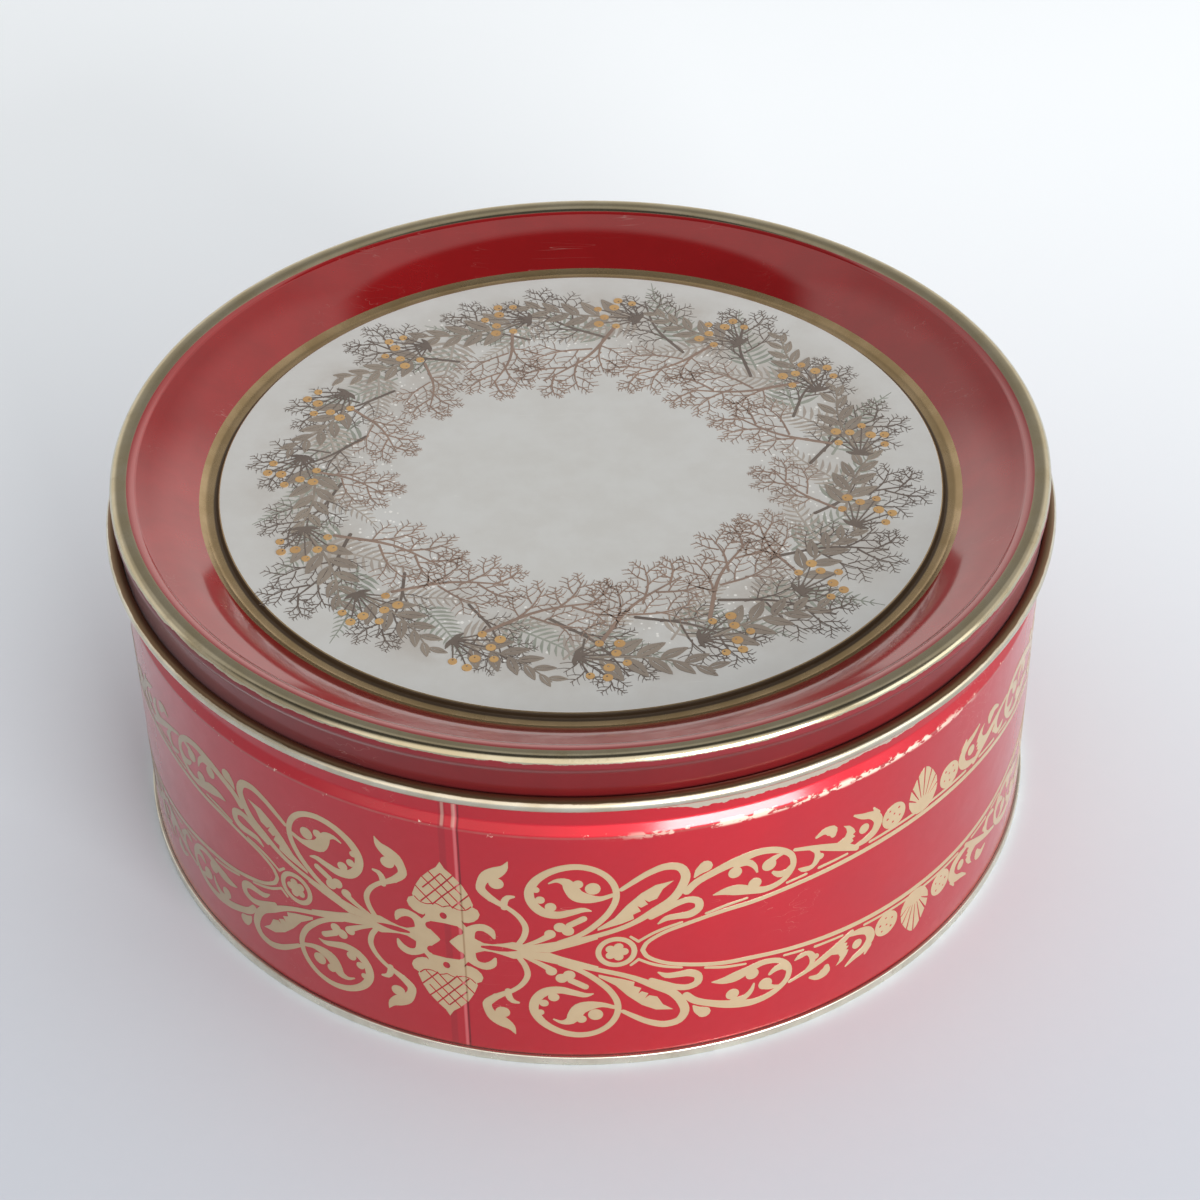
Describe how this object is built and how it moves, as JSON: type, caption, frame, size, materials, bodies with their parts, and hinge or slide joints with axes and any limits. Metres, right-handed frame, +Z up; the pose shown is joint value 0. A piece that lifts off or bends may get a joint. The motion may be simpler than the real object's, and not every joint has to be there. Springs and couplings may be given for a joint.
{
  "type": "round tin",
  "caption": "Round printed sheet-metal tin with a straight seamed wall, a crimped base and a lift-off lid with a rounded rim and a sunken top panel.",
  "frame": {"origin": "middle of the circle that the base stands on, at floor level", "axes": "+Z up along the tin's axis; -Y is the front, with the side seam in front, a little to the left"},
  "size_m": [0.2078, 0.2078, 0.0868],
  "materials": {
    "lid_lacquer": "dark red lacquer on sheet metal, printed silver-grey panel, bare worn rim and curl",
    "wall_lacquer": "satin red lacquer on sheet metal with a cream scrollwork print",
    "bare_tinplate": "bare tinplate"
  },
  "bodies": {
    "tin_body": {"body_wall": "wall_lacquer", "base_end": "bare_tinplate"},
    "lid": {"lid": "lid_lacquer"}
  },
  "joints": [
    {"name": "lid_lift", "type": "slide", "parent": "tin_body", "child": "lid", "axis": [0, 0, 1], "range_m": [0, 0.06]}
  ]
}
